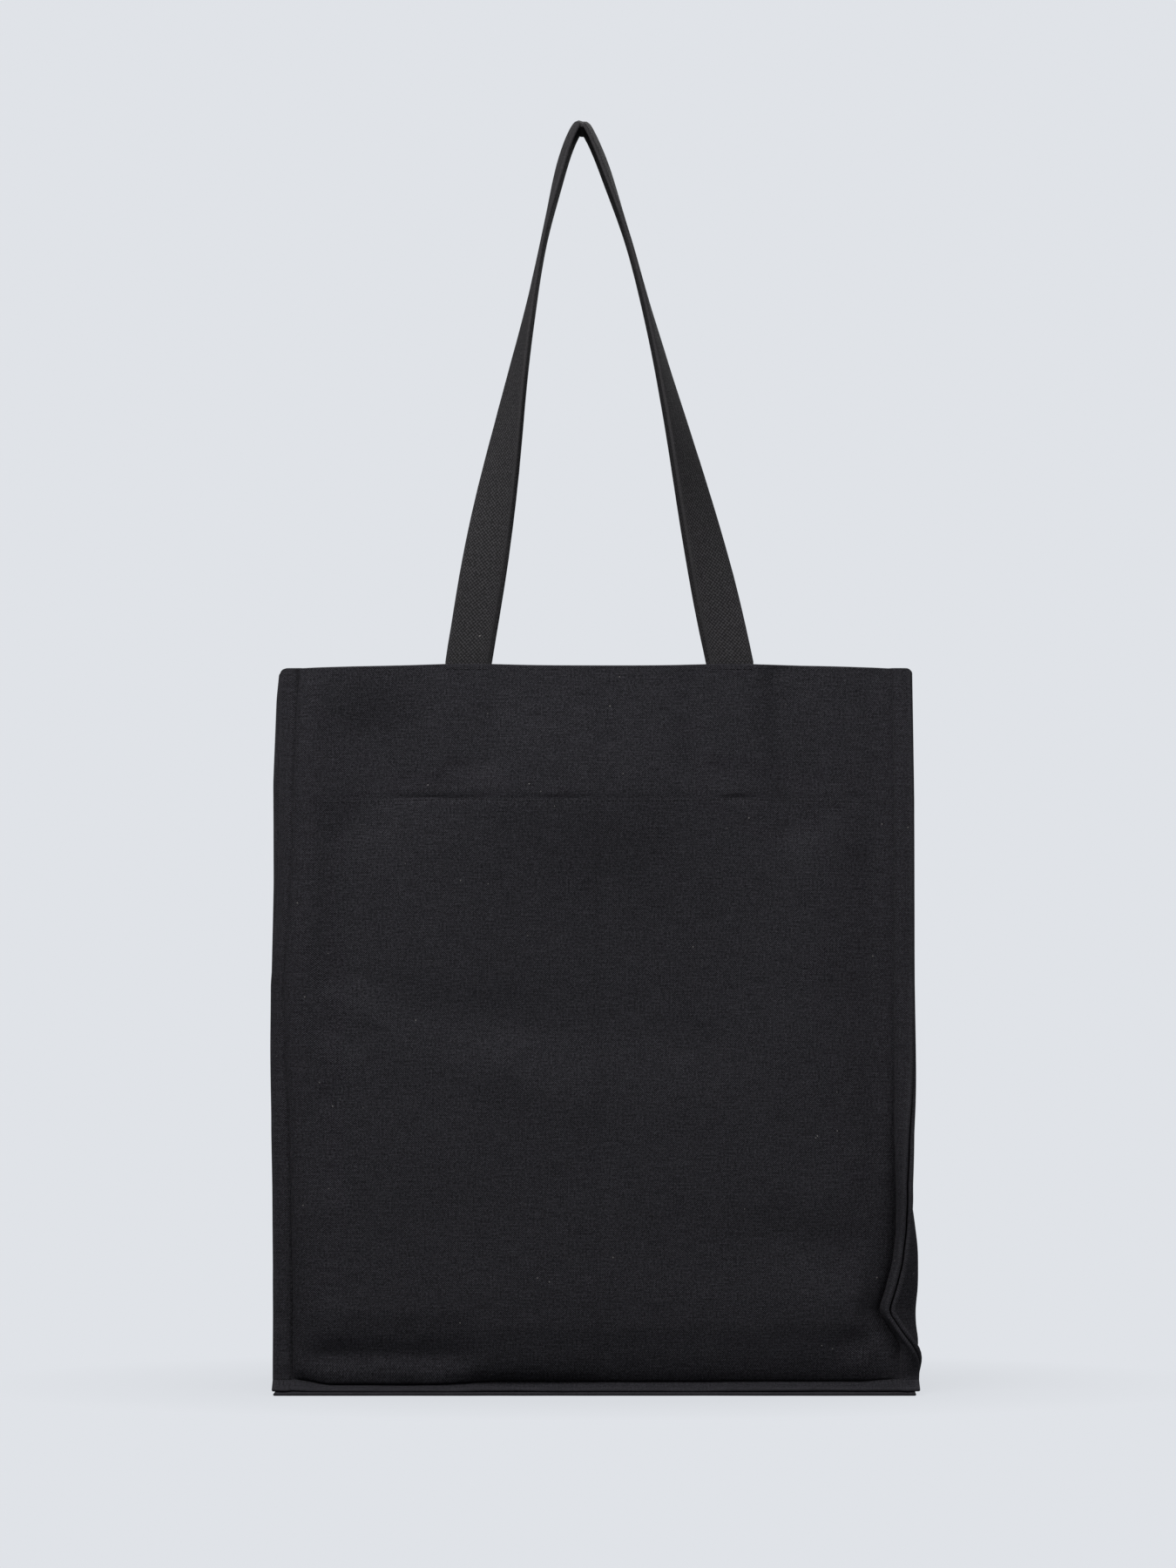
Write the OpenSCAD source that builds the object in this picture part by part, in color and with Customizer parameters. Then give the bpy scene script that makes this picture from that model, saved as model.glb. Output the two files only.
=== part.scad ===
// Canvas tote bag: a boxy body with seams that stand out at every edge,
// a lined rim and two long handles that hinge at the rim.
// Millimetres, +Z up, origin under the middle of the base, front towards -Y.

/* [Body] */
// Width between the two side walls
body_w = 344; // [300:1:400]
// Depth between the front and the back wall
body_d = 100; // [80:1:140]
// Height of the rim above the floor
body_h = 420; // [380:1:460]

/* [Cloth] */
// Thickness of one ply of canvas
ply = 1; // [0.8:0.05:1.1]
// Width of the folded seam that stands out at an edge
seam_w = 10.5; // [8:0.5:14]
// Rounding of a seam's top corner
corner_r = 3; // [1:0.5:6]

/* [Facing] */
// Distance of the facing's stitch line below the rim
facing_drop = 78; // [60:1:100]
// Flat turned edge above and below that stitch line
facing_edge = 5; // [3:1:8]

/* [Handles] */
// Width of the strap
strap_w = 25; // [20:1:30]
// Thickness of the strap
strap_t = 2.8; // [2.2:0.1:3.2]
// Middle of the left strap end, from the middle of the bag
strap_left_x = -73.5; // [-90:0.5:-60]
// Middle of the right strap end, from the middle of the bag
strap_right_x = 78.5; // [60:0.5:90]
// Sideways place of the handle's top
apex_x = -7.5; // [-20:0.5:20]
// Height of the handle's middle line above the rim
handle_rise = 315.5; // [250:0.5:340]
// Depth between the middle lines of the two handles at the top
apex_gap = 27; // [26:1:40]
// Length of strap sewn in below the rim
strap_tail = 56; // [30:1:56]

/* [Stitching] */
// Width of a line of thread
thread_w = 0.6; // [0.4:0.1:1]
// Height of a line of thread above the cloth
thread_t = 0.3; // [0.2:0.1:0.5]

/* [Hidden] */

canvas = "#27272b";
lining = "#2c2c30";
webbing = "#232327";
thread = "#141416";

fold = 2 * ply;                          // a turned edge is two plies
clear = 0.3;                             // room between pieces that move apart
half_w = body_w / 2;                     // inner face of a gusset
half_d = body_d / 2;                     // where a wall's seam meets the gusset's
wall_y = half_d + fold;                  // outer face of the front and back walls
tip_x = half_w + seam_w;                 // outer edge of an upright seam
tip_y = wall_y + seam_w;                 // outer edge of a bottom seam
floor_seam = 2 * fold;                   // top of a bottom seam
pocket = strap_t + 0.2;                  // space for a strap end behind the wall
facing_z = body_h - facing_drop;         // the facing's stitch line
facing_half = half_w - 1.5 * ply;        // half length of the front facing
gusset_facing_half = half_d - fold - pocket + ply;
seam_line_x = half_w + 2 * ply;          // stitch line of an upright seam
seam_line_y = wall_y + 2 * ply;          // stitch line of a bottom seam
strap_y = wall_y - ply - pocket / 2;     // middle of a strap end in its pocket
strap_line_z = body_h - 3;               // the stitch line across a strap end
facing_slope = 14;                       // height over which a facing leans in round the strap ends
notch_room = 0.1;                        // room beside a strap in a facing's top edge
row_end = 2;                             // a row of stitches stops short of the rim and the floor
row_turn = 1;                            // and of a corner

// Handle curve: reach and bow of each side, from the top (t = 0) to the rim (t = 1)
left_bow = 0.76;
right_bow = 0.772;
left_round = 0.11;                       // how much rounder each side is towards the top
right_round = 0.02;
round_fade = 3.5;
left_twist_rise = 222;                   // height over which the left side turns edge-on
right_twist_rise = 249;
left_flat = 46;                          // height that stays flat above the rim
right_flat = 10;
rings = 20;                              // rings on each side of the top
section = [[-1, -0.5], [-0.9, -1], [0.9, -1], [1, -0.5], [1, 0.5], [0.9, 1], [-0.9, 1], [-1, 0.5]];

function reach(side) = side < 0 ? strap_left_x - apex_x : strap_right_x - apex_x;
function bow(side, t) =
  let (base = side < 0 ? left_bow : right_bow, extra = side < 0 ? left_round : right_round)
  base - extra * pow(1 - t, round_fade);
function flat_rise(side) = side < 0 ? left_flat : right_flat;
function twist_rise(side) = side < 0 ? left_twist_rise : right_twist_rise;
function part_way(i) = pow(abs(i) / rings, 2);

// Middle of the strap at ring i: negative on the left side, zero at the top
function middle(i) =
  let (side = sign(i), t = part_way(i))
  [apex_x + reach(side) * pow(t, bow(side, t)),
   -strap_y + (strap_y - apex_gap / 2) * (1 - t),
   body_h + clear + handle_rise * (1 - t)];

// How far the strap has turned from face-on (0) to edge-on (90)
function twist(i) =
  let (rise = handle_rise * (1 - part_way(i)), side = sign(i))
  90 * sin(90 * max(0, min(1, (rise - flat_rise(side)) / twist_rise(side))));

// Direction out of the loop at ring i
function outward(i) =
  i == 0 ? [0, 0, 1] :
  abs(i) == rings ? [sign(i), 0, 0] :
  let (a = middle(i - 1), b = middle(i + 1), along = [b[0] - a[0], 0, b[2] - a[2]])
  [-along[2], 0, along[0]] / norm(along);

function strap_ring(i) =
  let (out = outward(i), angle = twist(i), front = [0, -1, 0])
  let (across = -cos(angle) * out + sin(angle) * front)
  let (through = sin(angle) * out + cos(angle) * front)
  [for (p = section) middle(i) + p[0] * strap_w / 2 * across + p[1] * strap_t / 2 * through];

module strap_loop() {
  sides = len(section);
  last = 2 * rings;
  points = [for (i = [-rings:rings]) each strap_ring(i)];
  walls = [for (k = [0:last - 1], s = [0:sides - 1])
    let (a = k * sides + s, b = k * sides + (s + 1) % sides)
    each [[a, b, b + sides], [a, b + sides, a + sides]]];
  first_cap = [for (s = [sides - 1:-1:0]) s];
  last_cap = [for (s = [0:sides - 1]) last * sides + s];
  polyhedron(points, concat(walls, [first_cap, last_cap]));
}

// A block between two opposite corners
module block(low, high) {
  translate(low) cube(high - low);
}

// Upright outline from x = 0 with its outer top corner rounded
module rounded_strip(wide, high) {
  square([wide, high - corner_r]);
  square([wide - corner_r, high]);
  translate([wide - corner_r, high - corner_r]) circle(corner_r, $fn = 32);
}

// Stands an outline up with its front face at y and its thickness behind it
module stand(y, thick) {
  translate([0, y + thick, 0]) rotate([90, 0, 0]) linear_extrude(thick) children();
}

// Front wall: one ply, its side edges turned in, its bottom edge turned out
module wall() {
  for (side = [0, 1]) mirror([side, 0, 0]) {
    stand(-wall_y, ply) translate([0, fold]) rounded_strip(tip_x, body_h - fold);
    stand(-wall_y, fold)
      translate([half_w, floor_seam]) rounded_strip(seam_w, body_h - floor_seam);
  }
  block([-tip_x, -tip_y, fold], [tip_x, -half_d, floor_seam]);
}

// Right side wall: a ply with its upright edges and its bottom edge turned outwards
module gusset() {
  block([half_w, -half_d, fold], [half_w + ply, half_d, body_h]);
  block([half_w, -half_d, fold], [tip_x, half_d, floor_seam]);
  for (back = [0, 1]) mirror([0, back, 0])
    stand(-half_d, fold)
      translate([half_w, floor_seam]) rounded_strip(seam_w, body_h - floor_seam);
}

// Base: one ply on the floor, its edges turned in all round
module base_panel() {
  color(canvas) union() {
    block([-tip_x, -tip_y, 0], [tip_x, tip_y, ply]);
    for (end = [0, 1]) {
      mirror([end, 0, 0]) block([half_w, -tip_y, 0], [tip_x, tip_y, fold]);
      mirror([0, end, 0]) block([-tip_x, -tip_y, 0], [tip_x, -half_d, fold]);
    }
  }
}

// Band inside the front rim, bulged over the strap ends and flat at its stitch line
module wall_facing() {
  outer = wall_y - ply;
  inner = outer - pocket;
  slope_z = facing_z + facing_edge + facing_slope;
  difference() {
    rotate([90, 0, 90]) translate([0, 0, -facing_half]) linear_extrude(2 * facing_half)
      polygon([[-outer, body_h], [ply - inner, body_h], [ply - inner, slope_z],
        [ply - outer, facing_z + facing_edge], [ply - outer, facing_z - facing_edge],
        [-outer, facing_z - facing_edge], [-outer, facing_z + facing_edge],
        [-inner, slope_z], [-inner, body_h - ply], [-outer, body_h - ply]]);
    for (x = [strap_left_x, strap_right_x])
      block([x - strap_w / 2 - notch_room, -outer - ply, body_h - 2 * ply],
        [x + strap_w / 2 + notch_room, -inner, body_h + ply]);
  }
}

// Band inside the right gusset's rim
module gusset_facing() {
  block([half_w - ply, -gusset_facing_half, facing_z - facing_edge],
    [half_w, gusset_facing_half, body_h]);
}

module strap_end(x) {
  block([x - strap_w / 2, -strap_y - strap_t / 2, body_h - strap_tail],
    [x + strap_w / 2, -strap_y + strap_t / 2, body_h]);
}

// Both lines of thread that hold the front right seam, outside and inside the fold
module upright_thread() {
  low = [seam_line_x - thread_w / 2, 0, floor_seam + row_end];
  high = [seam_line_x + thread_w / 2, 0, body_h - row_end];
  block(low + [0, -wall_y - thread_t, 0], high + [0, -wall_y, 0]);
  block(low + [0, fold - half_d, 0], high + [0, fold - half_d + thread_t, 0]);
}

module front_bottom_line() {
  block([-seam_line_x, -seam_line_y - thread_w / 2, floor_seam],
    [seam_line_x, -seam_line_y + thread_w / 2, floor_seam + thread_t]);
}

module right_bottom_line() {
  block([seam_line_x - thread_w / 2, -half_d + fold + row_turn, floor_seam],
    [seam_line_x + thread_w / 2, half_d - fold - row_turn, floor_seam + thread_t]);
}

// Thread across the front wall at the facing's lower edge, outside and inside
module front_facing_line() {
  low = [-facing_half, 0, facing_z - thread_w / 2];
  high = [facing_half, 0, facing_z + thread_w / 2];
  block(low + [0, -wall_y - thread_t, 0], high + [0, -wall_y, 0]);
  block(low + [0, fold - wall_y, 0], high + [0, fold - wall_y + thread_t, 0]);
}

module right_facing_line() {
  reach_y = gusset_facing_half - row_turn;
  low = [0, -reach_y, facing_z - thread_w / 2];
  high = [0, reach_y, facing_z + thread_w / 2];
  block(low + [half_w + ply, 0, 0], high + [half_w + ply + thread_t, 0, 0]);
  block(low + [half_w - ply - thread_t, 0, 0], high + [half_w - ply, 0, 0]);
}

// Thread across one strap end, on the wall and on the facing
module strap_line(x) {
  inner = wall_y - fold - pocket;
  low = [x - strap_w / 2, 0, strap_line_z - thread_w / 2];
  high = [x + strap_w / 2, 0, strap_line_z + thread_w / 2];
  block(low + [0, -wall_y - thread_t, 0], high + [0, -wall_y, 0]);
  block(low + [0, -inner, 0], high + [0, thread_t - inner, 0]);
}

module to_back() {
  mirror([0, 1, 0]) children();
}

module to_left() {
  mirror([1, 0, 0]) children();
}

module front_panel() { color(canvas) wall(); }
module back_panel() { color(canvas) to_back() wall(); }
module right_gusset() { color(canvas) gusset(); }
module left_gusset() { color(canvas) to_left() gusset(); }

module front_facing() { color(lining) wall_facing(); }
module back_facing() { color(lining) to_back() wall_facing(); }
module right_facing() { color(lining) gusset_facing(); }
module left_facing() { color(lining) to_left() gusset_facing(); }

module front_handle() { color(webbing) strap_loop(); }
module back_handle() { color(webbing) to_back() strap_loop(); }
module front_left_strap_end() { color(webbing) strap_end(strap_left_x); }
module front_right_strap_end() { color(webbing) strap_end(strap_right_x); }
module back_left_strap_end() { color(webbing) to_back() strap_end(strap_left_x); }
module back_right_strap_end() { color(webbing) to_back() strap_end(strap_right_x); }

module front_right_seam_thread() { color(thread) upright_thread(); }
module front_left_seam_thread() { color(thread) to_left() upright_thread(); }
module back_right_seam_thread() { color(thread) to_back() upright_thread(); }
module back_left_seam_thread() { color(thread) to_left() to_back() upright_thread(); }
module front_bottom_seam_thread() { color(thread) front_bottom_line(); }
module back_bottom_seam_thread() { color(thread) to_back() front_bottom_line(); }
module right_bottom_seam_thread() { color(thread) right_bottom_line(); }
module left_bottom_seam_thread() { color(thread) to_left() right_bottom_line(); }

module front_facing_thread() { color(thread) front_facing_line(); }
module back_facing_thread() { color(thread) to_back() front_facing_line(); }
module right_facing_thread() { color(thread) right_facing_line(); }
module left_facing_thread() { color(thread) to_left() right_facing_line(); }
module front_left_strap_thread() { color(thread) strap_line(strap_left_x); }
module front_right_strap_thread() { color(thread) strap_line(strap_right_x); }
module back_left_strap_thread() { color(thread) to_back() strap_line(strap_left_x); }
module back_right_strap_thread() { color(thread) to_back() strap_line(strap_right_x); }

front_panel();
back_panel();
left_gusset();
right_gusset();
base_panel();
front_facing();
back_facing();
left_facing();
right_facing();
front_handle();
back_handle();
front_left_strap_end();
front_right_strap_end();
back_left_strap_end();
back_right_strap_end();
front_left_seam_thread();
front_right_seam_thread();
back_left_seam_thread();
back_right_seam_thread();
front_bottom_seam_thread();
back_bottom_seam_thread();
left_bottom_seam_thread();
right_bottom_seam_thread();
front_facing_thread();
back_facing_thread();
left_facing_thread();
right_facing_thread();
front_left_strap_thread();
front_right_strap_thread();
back_left_strap_thread();
back_right_strap_thread();
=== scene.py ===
import math
import random
from functools import partial

import bmesh
import bpy
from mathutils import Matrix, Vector, noise


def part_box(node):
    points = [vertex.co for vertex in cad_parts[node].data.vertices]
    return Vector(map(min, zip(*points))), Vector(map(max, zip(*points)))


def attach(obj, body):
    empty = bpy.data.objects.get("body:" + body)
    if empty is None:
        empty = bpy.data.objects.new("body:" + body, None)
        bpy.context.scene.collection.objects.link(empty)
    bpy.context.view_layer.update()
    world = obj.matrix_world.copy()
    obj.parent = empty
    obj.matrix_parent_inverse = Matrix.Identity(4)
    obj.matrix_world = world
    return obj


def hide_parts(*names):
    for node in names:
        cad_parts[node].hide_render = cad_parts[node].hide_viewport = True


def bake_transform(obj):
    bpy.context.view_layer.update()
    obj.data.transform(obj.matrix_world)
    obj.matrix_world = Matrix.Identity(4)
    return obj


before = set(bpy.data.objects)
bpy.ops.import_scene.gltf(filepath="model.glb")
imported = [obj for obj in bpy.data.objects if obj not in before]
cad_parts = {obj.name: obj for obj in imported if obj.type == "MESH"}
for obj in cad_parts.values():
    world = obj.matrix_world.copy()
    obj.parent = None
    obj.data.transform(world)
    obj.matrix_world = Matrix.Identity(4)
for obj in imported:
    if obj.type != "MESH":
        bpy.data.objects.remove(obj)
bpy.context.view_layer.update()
mm = 0.001

# The main measures, all taken from the frame
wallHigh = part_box("front_panel")[1]
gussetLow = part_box("right_gusset")[0]
strapLow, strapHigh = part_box("front_left_strap_end")
strapRightLow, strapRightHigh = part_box("front_right_strap_end")
handleLow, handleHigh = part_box("front_handle")
facingLow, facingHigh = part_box("front_facing")
facingThreadLow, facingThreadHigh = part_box("front_facing_thread")
strapThreadLow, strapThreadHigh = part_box("front_left_strap_thread")

canvas = {
    "ply": 0.95 * mm,           # thickness of one layer
    "fold": 0.52 * mm,          # half the spacing of two layers sewn together
    "rise": 0.75 * mm,          # a seam is pinched at its stitches and fuller towards its edge
    "fall": 0.30 * mm,
    "swell": 1.2 * mm,          # and the wall's own layer is fuller still
    "step": 2.8 * mm,           # spacing of the mesh over the open cloth
    "finLength": 10.2 * mm,     # how far a seam stands out
    "pressed": 0.15,            # share of that fullness left in a seam the bag stands on
    "cornerRound": 3 * mm,      # top corner of an upright seam
    "outStops": (0.5, 1.3, 2.6, 4.6, 6.8, 8.6, 9.6),   # mesh columns out to a seam's edge, in mm
    "tipSteps": 6,
    "backStops": (1.2, 3.2, 5.6, 7.8, 9.5),            # and back along the turned edge
}
body = {
    "halfWidth": gussetLow.x,
    "rim": wallHigh.z,
    "wallY": 51.5 * mm,         # depth of the walls, before they sag
    "bottomRoot": 8.1 * mm,     # the bottom seam stands on its tip, so its root is off the floor
    "bottomDrop": 4.9 * mm,
    "slopeShare": 0.93,         # share of that drop kept, and how unevenly
    "slopeWave": 0.07,
    "runWave": 0.09,
    "baseRest": 0.6 * mm,
    "baseFlatten": 17 * mm,     # width over which the base rises to its seam
    "floorGap": 3.2,            # the base's layer below the wall's, in layers
    "longerBase": 0.6 * mm,
    "puff": 2.9 * mm,           # the cloth rolls forward beside a seam
    "leftPuff": 4.4 * mm,
    "puffWidth": 2.3 * mm,
    "flatter": 0.65,            # how much flatter that roll is on the right
    "flatterOver": 60 * mm,
    "seamReach": 42 * mm,       # how far into the wall a seam's own shape is felt
    "wallLift": 9 * mm,         # height over which folds start above the bottom seam
    "gussetLift": 12 * mm,
    "gussetGap": 0.2 * mm,
    "gussetPuff": 1.4 * mm,
    "gussetPuffWidth": 4 * mm,
    "restTop": 13 * mm,         # height by which cloth resting on the seam has come level again
}
# Ripples in the cloth: height, size and seed of each
waves = {
    "root": (0.3 * mm, 60 * mm, 3),
    "broad": (0.75 * mm, 85 * mm, 0),
    "middle": (0.32 * mm, 30 * mm, 5),
    "small": (0.10 * mm, 11 * mm, 9),
    "seamEdge": (1.2 * mm, 34 * mm, 12),
    "gusset": (1.0 * mm, 45 * mm, 41),
    "gussetSmall": (0.3 * mm, 16 * mm, 44),
    "base": (0.35 * mm, 60 * mm, 51),
    "facing": (0.6 * mm, 40 * mm, 61),
    "strapLift": (0.10 * mm, 22 * mm, 71),
    "strapCurl": (0.35 * mm, 50 * mm, 77),
    "strapEdge": (0.12 * mm, 2.5 * mm, 83),
}
openHeight = body["rim"] - body["bottomRoot"]   # of a wall above its bottom seam
halfWide, wallY, finLength = body["halfWidth"], body["wallY"], canvas["finLength"]
drop = body["bottomDrop"] / finLength
layer = 2 * canvas["fold"]
fullTip = 0.5 * (layer + canvas["rise"] + canvas["fall"])   # radius of the turned edge
finArc = math.pi * fullTip


def ease(low, high, value):  # 0 before low, 1 after high
    t = min(1.0, max(0.0, (value - low) / (high - low)))
    return t * t * (3 - 2 * t)


def bump(value, width):
    return math.exp(-(value / width) ** 2)


def wander(x, y, z, size, seed):  # smooth noise between about -1 and 1
    return noise.noise(Vector((x / size + seed, y / size - seed, z / size + 2 * seed)))


def ripple(name, x, y, z, more=0):
    tall, size, seed = waves[name]
    return tall * wander(x, y, z, size, seed + more)


def follow(stations, z, blur=2.6 * mm):  # value at a height, its corners softened
    total = 0.0
    for shift in (-1.0, -0.5, 0.0, 0.5, 1.0):
        at = z + shift * blur
        below = stations[0]
        value = stations[-1][1]
        if at <= below[0]:
            value = below[1]
        else:
            for above in stations[1:]:
                if at <= above[0]:
                    part = (at - below[0]) / (above[0] - below[0])
                    value = below[1] + part * (above[1] - below[1])
                    break
                below = above
        total += value
    return total / 5


def stationsAlong(start, end, step):
    count = max(1, round(abs(end - start) / step))
    return [start + (end - start) * i / count for i in range(count + 1)]


def finStations():  # distances past the root of a seam: out, round the tip, and back
    start, steps = finLength, canvas["tipSteps"]
    out = [d * mm for d in canvas["outStops"]]
    arc = [start + finArc * i / steps for i in range(steps + 1)]
    return out + arc + [start + finArc + d * mm for d in canvas["backStops"]]


def finOffset(past, full=1.0):  # distance along the seam, and behind its first layer
    out = finLength
    rise, fall = full * canvas["rise"], full * canvas["fall"]
    if past <= out:
        return past, -rise * ease(0.5 * mm, 3.4 * mm, past)
    tip = 0.5 * (layer + rise + fall)
    turn = math.pi * (past - out) / finArc
    if turn < math.pi:
        return out + tip * math.sin(turn), tip * (1 - math.cos(turn)) - rise
    along = out - (past - out - finArc)
    return along, layer + fall * ease(0.8 * mm, 5 * mm, along)


def spreadAt(along):  # room between the two turned edges of one seam
    return 0.75 * mm * ease(0.8 * mm, 6 * mm, along)


def cornerDrop(along):
    radius = canvas["cornerRound"]
    over = along - (finLength + fullTip - radius)
    if over <= 0:
        return 0.0
    return radius - math.sqrt(max(0.0, radius * radius - over * over))


# Upright seams: how far the root moves out or in, how far it sinks, and how far the seam turns
# to the front, each against height
seams = {
    "frontRight": {
        "out": [(0, 2.2), (14, 2.6), (21, 3.2), (27, 4.4), (32, 3), (41, -3), (48, -7.6), (60, -3.6),
                (75, 0.4), (92, 2.4), (112, 2.4), (150, 0.2), (220, -0.6), (340, -0.8), (420, -1.9)],
        "sink": [(16, 0), (30, 2.5), (90, 3), (140, 1), (420, 0.5)],
        "turn": [(13, 0), (20, 30), (27, 64), (33, 80), (88, 82), (120, 74), (150, 54), (190, 24),
                 (235, 9), (420, 4)],
    },
    "frontLeft": {
        "out": [(0, 1.3), (60, 1.3), (120, 2.2), (160, 3.2), (200, 5.2), (235, 6), (270, 3.2),
                (310, 1), (350, 0.4), (400, -1.6), (420, -3.2)],
        "sink": [(0, 0), (200, 0.6), (230, 1.2), (260, 0.5), (420, 0)],
        "turn": [(0, 0), (60, -6), (150, -18), (200, -36), (235, -44), (270, -44), (350, -38),
                 (395, -24), (420, -8)],
    },
    "backLeft": {
        "out": [(0, 4.5), (15, 6.3), (62, 6.3), (110, 4.8), (160, 5.2), (222, 7.2), (290, 5.8),
                (350, 6), (400, 4), (420, 2)],
        "sink": [(0, 0), (150, 1.5), (300, 0.5), (420, 0)],
        "turn": [(0, 0), (120, 16), (300, 6), (420, 12)],
    },
    "backRight": {
        "out": [(0, 0.5), (80, 2), (180, -1), (320, 2), (420, 0.5)],
        "sink": [(0, 0), (110, 2), (260, 0.5), (420, 0)],
        "turn": [(0, 0), (70, 20), (180, 10), (300, 24), (420, 14)],
    },
}
seamTables = {}


def seamAt(name, z):
    key = (name, round(z * 10000))  # kept for each tenth of a millimetre
    if key not in seamTables:
        seam = seams[name]
        values = [follow([(h * mm, v) for h, v in seam[part]], z) for part in ("out", "sink", "turn")]
        seamTables[key] = (values[0] * mm, values[1] * mm, math.radians(values[2]))
    return seamTables[key]


def seamName(front, right):
    return ("front" if front else "back") + ("Right" if right else "Left")


def rootHeight(x, y):  # height of the bottom seam's root
    return body["bottomRoot"] + ripple("root", x, y, 0)


# Soft folds on each wall: two ends (x, z), width and height, in millimetres
frontFolds = [
    (-16, 352, 16, 350, 46, 7.0), (-50, 372, -50, 352, 16, 0.9),   # stands out between the straps
    (64, 404, 62, 366, 15, -3.2), (104, 412, 116, 326, 12, -4.2), (130, 404, 138, 320, 15, 1.4),
    (-58, 336, -58, 302, 6, 1.0), (-96, 366, -90, 350, 14, -1.0),
    (-164, 412, -164, 200, 7, 1.7),                                 # roll beside the left seam
    (-128, 376, -124, 346, 24, -6.0), (-142, 318, -139, 240, 18, -5.0),
    (-148, 212, -140, 206, 10, -2.0), (-136, 233, -126, 214, 3.4, 1.7),
    (-122, 226, -52, 213, 14, -1.3), (-52, 213, 66, 200, 16, -1.1),
    (-118, 197, -56, 185, 16, 1.2), (-56, 185, -14, 169, 18, 1.2), (-14, 169, 62, 168, 22, 1.3),
    (-110, 150, 20, 134, 34, 1.0),
    (-152, 166, -150, 124, 12, -2.0), (-164, 170, -165, 60, 6, 1.2), (-152, 90, -150, 62, 12, -1.6),
    (-140, 150, -84, 66, 18, 0.9),
    (-160, 20, -140, 26, 7, -0.8),
    (164, 412, 163, 140, 8, -2.8), (158, 300, 156, 150, 14, -1.4),
    (128, 290, 120, 190, 28, 1.4), (118, 250, 126, 140, 24, 0.9),
    (158, 124, 152, 92, 12, -2.2), (108, 92, 160, 72, 17, -2.6), (116, 52, 158, 48, 14, 1.0),
    (40, 120, 118, 108, 22, 1.2), (148, 30, 168, 42, 8, -2.6),
]
backFolds = [
    (-40, 340, 50, 336, 46, 2.2), (120, 400, 106, 310, 12, -1.6), (-128, 398, -118, 330, 13, 1.4),
    (-60, 250, 70, 214, 16, 1.8), (-40, 228, 90, 196, 13, -1.5), (150, 240, 156, 150, 12, -1.8),
    (-150, 200, -156, 90, 12, -1.8), (-120, 120, 10, 92, 18, 1.6), (-110, 92, 20, 70, 14, -1.6),
    (60, 60, 150, 40, 15, 1.8), (86, 30, 150, 24, 8, -2.0), (-150, 40, -90, 26, 9, -2.0),
]


def foldDepth(folds, x, z):
    total = 0.0
    for x1, z1, x2, z2, width, height in folds:
        dx, dz = (x2 - x1) * mm, (z2 - z1) * mm
        px, pz = x - x1 * mm, z - z1 * mm
        part = min(1.0, max(0.0, (px * dx + pz * dz) / (dx * dx + dz * dz)))
        away = math.hypot(px - part * dx, pz - part * dz) / (width * mm)
        if away < 2.5:
            total += height * mm * math.exp(-away * away)
    return total


straps = {
    "leftX": 0.5 * (strapLow.x + strapHigh.x),
    "rightX": 0.5 * (strapRightLow.x + strapRightHigh.x),
    "width": strapHigh.x - strapLow.x,
    "thick": strapHigh.y - strapLow.y,
    "tailEnd": strapLow.z,
    "y": -0.5 * (strapLow.y + strapHigh.y),
}
facingLine = 0.5 * (facingThreadLow.z + facingThreadHigh.z)
facingEdge = facingLow.z


def nearStrap(x, z, reach):  # 1 over a sewn-in strap end, 0 away from it
    value = 0.0
    for at in (straps["leftX"], straps["rightX"]):
        across = 1 - ease(0.5 * straps["width"], 0.5 * straps["width"] + reach, abs(x - at))
        value = max(value, across * ease(straps["tailEnd"] - reach, straps["tailEnd"], z))
    return value


rimSag = {"whole": 2.0, True: 1.7, False: 1.2}   # and more at the corners, front and back, in mm


def rimHeight(x, front):  # the rim sags least at the straps
    edge = min(1.0, abs(x) / halfWide)
    pulled = bump(x - straps["leftX"], 30 * mm) + bump(x - straps["rightX"], 30 * mm)
    return body["rim"] - (rimSag["whole"] - pulled + rimSag[front] * edge ** 5) * mm


relief = {
    "seed": {True: 7.3, False: 31.7},       # front and back
    "edgeFade": 22 * mm,            # folds fade out towards the upright seams
    "tightAt": ((-90, 26, 1), (82, 10, 1), (-20, 18, 0.6)),   # x, width (mm) and share
    "leastPull": 0.16, "tightPull": 0.75, "unevenPull": 0.16, "unevenSize": 22 * mm,
    "lineDepth": 1.1 * mm, "lineWidth": 1.7 * mm,   # the facing's stitches draw the wall in
    "lipHeight": 0.45 * mm, "lipAbove": 4.5 * mm, "lipWidth": 2.8 * mm,
    "strapFade": 14 * mm, "strapShow": 0.6 * mm, "strapShowFade": 3 * mm,
}


def reliefAt(front, x, z):  # how far a wall stands out at a point of the open cloth
    r = relief
    seed = r["seed"][front]
    soft = foldDepth(frontFolds if front else backFolds, x, z)
    for name in ("broad", "middle", "small"):
        soft += ripple(name, x, 0, z, seed)
    soft *= ease(0, r["edgeFade"], halfWide - abs(x))
    tight = sum(share * bump(x - at * mm, width * mm) for at, width, share in r["tightAt"])
    uneven = wander(x, 0, 0, r["unevenSize"], seed + 3)
    pull = r["leastPull"] + r["tightPull"] * tight + r["unevenPull"] * uneven
    soft -= r["lineDepth"] * pull * bump(z - facingLine, r["lineWidth"])
    soft += r["lipHeight"] * pull * bump(z - facingLine - r["lipAbove"], r["lipWidth"])
    strap = nearStrap(x, z, r["strapFade"])
    return soft * (1 - strap) + r["strapShow"] * nearStrap(x, z, r["strapShowFade"])


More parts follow.
